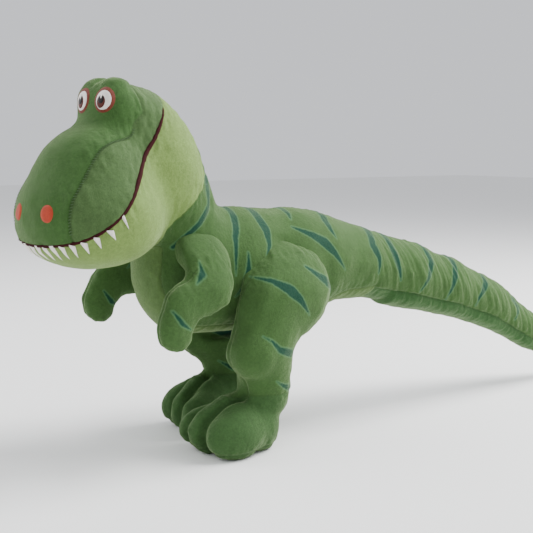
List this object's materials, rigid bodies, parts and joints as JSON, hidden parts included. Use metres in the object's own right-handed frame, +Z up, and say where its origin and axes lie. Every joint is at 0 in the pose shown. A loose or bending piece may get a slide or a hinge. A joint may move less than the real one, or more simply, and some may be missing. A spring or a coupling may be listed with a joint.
{
  "type": "plush dinosaur toy",
  "caption": "Standing stuffed dinosaur sewn from green velour panels, with striped back and tail, satin teeth, and a softly sewn head, arms, legs and tail that bend.",
  "frame": {"origin": "on the floor, under the middle of the toy's overall length and width", "axes": "-Y is the way the toy faces, +X its left side, +Z up; the tail points along +Y"},
  "size_m": [0.1759, 0.6976, 0.3367],
  "materials": {
    "velour_green": "short-pile velour",
    "velour_dark_green": "short-pile velour",
    "velour_pale_green": "short-pile velour",
    "stuffing": "polyester fibre filling",
    "mouth_cord": "embroidered cord",
    "white_satin": "satin",
    "nostril_red": "embroidered"
  },
  "bodies": {
    "torso": {"torso_stuffing": "stuffing", "side_panel_left": "velour_green", "side_panel_right": "velour_green", "belly_panel": "velour_pale_green"},
    "head": {"head_stuffing": "stuffing", "snout_panel": "velour_dark_green", "cheek_panel_left": "velour_dark_green", "cheek_panel_right": "velour_dark_green", "jaw_panel": "velour_pale_green", "nape_panel": "velour_green", "mouth_cord": "mouth_cord", "eye_patch_left": "white_satin", "eye_patch_right": "white_satin", "nostril_patch_left": "nostril_red", "nostril_patch_right": "nostril_red", "tooth_01": "white_satin", "tooth_02": "white_satin", "tooth_03": "white_satin", "tooth_04": "white_satin", "tooth_05": "white_satin", "tooth_06": "white_satin", "tooth_07": "white_satin", "tooth_08": "white_satin", "tooth_09": "white_satin", "tooth_10": "white_satin", "tooth_11": "white_satin", "tooth_12": "white_satin", "tooth_13": "white_satin", "tooth_14": "white_satin", "tooth_15": "white_satin", "tooth_16": "white_satin", "tooth_17": "white_satin"},
    "arm_left": {"arm_stuffing_left": "stuffing", "arm_outer_panel_left": "velour_green", "arm_inner_panel_left": "velour_green"},
    "arm_right": {"arm_stuffing_right": "stuffing", "arm_outer_panel_right": "velour_green", "arm_inner_panel_right": "velour_green"},
    "leg_left": {"leg_stuffing_left": "stuffing", "leg_outer_panel_left": "velour_green", "leg_inner_panel_left": "velour_green", "foot_stuffing_left": "stuffing", "foot_upper_left": "velour_dark_green", "foot_sole_left": "velour_dark_green"},
    "leg_right": {"leg_stuffing_right": "stuffing", "leg_outer_panel_right": "velour_green", "leg_inner_panel_right": "velour_green", "foot_stuffing_right": "stuffing", "foot_upper_right": "velour_dark_green", "foot_sole_right": "velour_dark_green"},
    "tail_root": {"tail_root_stuffing": "stuffing", "tail_root_panel_left": "velour_green", "tail_root_panel_right": "velour_green", "tail_root_gusset": "velour_dark_green"},
    "tail_tip": {"tail_tip_stuffing": "stuffing", "tail_tip_panel_left": "velour_green", "tail_tip_panel_right": "velour_green", "tail_tip_gusset": "velour_dark_green"}
  },
  "joints": [
    {"name": "head_turn", "type": "hinge", "parent": "torso", "child": "head", "pos_m": [-0.0035, -0.1917, 0.217], "axis": [0, 0, 1], "range_deg": [-35, 10], "stiffness_Nm_per_rad": 0.6},
    {"name": "arm_swing_left", "type": "hinge", "parent": "torso", "child": "arm_left", "pos_m": [-0.0035, -0.1897, 0.188], "axis": [1, 0, 0], "range_deg": [-28, 25], "stiffness_Nm_per_rad": 0.15},
    {"name": "arm_swing_right", "type": "hinge", "parent": "torso", "child": "arm_right", "pos_m": [-0.0035, -0.1897, 0.188], "axis": [1, 0, 0], "range_deg": [-20, 25], "stiffness_Nm_per_rad": 0.15},
    {"name": "hip_swing_left", "type": "hinge", "parent": "torso", "child": "leg_left", "pos_m": [-0.0035, -0.1077, 0.146], "axis": [1, 0, 0], "range_deg": [-12, 12], "stiffness_Nm_per_rad": 3},
    {"name": "hip_swing_right", "type": "hinge", "parent": "torso", "child": "leg_right", "pos_m": [-0.0035, -0.1077, 0.146], "axis": [1, 0, 0], "range_deg": [-12, 12], "stiffness_Nm_per_rad": 3},
    {"name": "tail_sway_root", "type": "hinge", "parent": "torso", "child": "tail_root", "pos_m": [-0.0035, 0.0083, 0.163], "axis": [0, 0, 1], "range_deg": [-20, 20], "stiffness_Nm_per_rad": 0.6},
    {"name": "tail_sway_middle", "type": "hinge", "parent": "tail_root", "child": "tail_tip", "pos_m": [-0.0035, 0.1463, 0.127], "axis": [0, 0, 1], "range_deg": [-25, 25], "stiffness_Nm_per_rad": 0.3}
  ]
}
